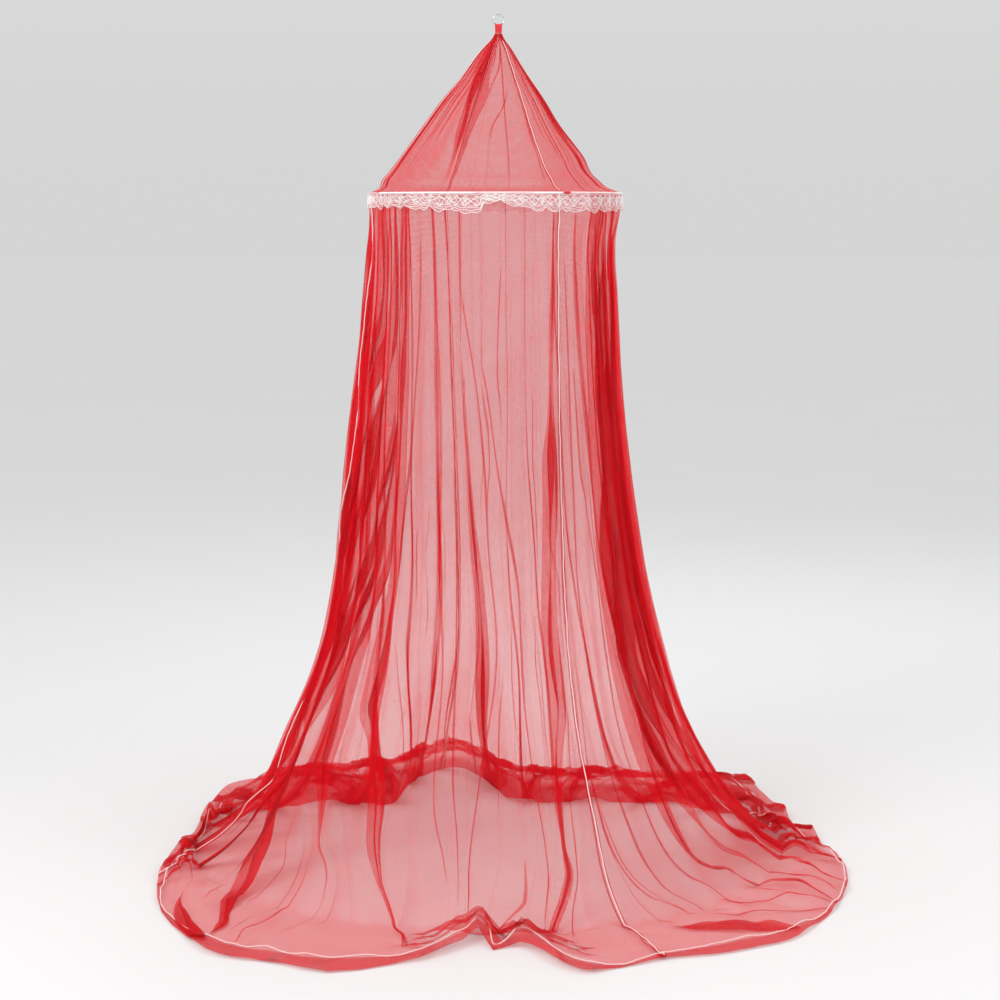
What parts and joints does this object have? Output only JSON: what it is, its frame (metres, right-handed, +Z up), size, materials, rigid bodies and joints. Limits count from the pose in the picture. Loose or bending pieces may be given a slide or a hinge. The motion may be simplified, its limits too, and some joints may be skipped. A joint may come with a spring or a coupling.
{
  "type": "mosquito net canopy with hoop and hanging ring",
  "caption": "Sheer net canopy hung from a ring: a pointed top spread by a hoop, a lace flounce round it, and a long skirt that trails on the floor.",
  "frame": {"origin": "inner top of the hanging ring, where a ceiling hook bears", "axes": "+Z up, -Y towards the front, +X towards the viewer's right"},
  "size_m": [1.6639, 1.8121, 2.0625],
  "materials": {
    "net_red": "sheer open net",
    "loop_red": "close woven tape",
    "lace_white": "open lace",
    "hoop_white": "smooth",
    "ring_steel": "plated wire"
  },
  "bodies": {
    "root": {"hanging_ring": "ring_steel", "hanging_loop": "loop_red", "hoop": "hoop_white", "lace_trim": "lace_white", "top_panel_front": "net_red", "top_panel_right": "net_red", "top_panel_back": "net_red", "top_panel_left": "net_red", "skirt_panel_front": "net_red", "skirt_panel_right": "net_red", "skirt_panel_back": "net_red", "skirt_panel_left": "net_red"}
  },
  "joints": []
}
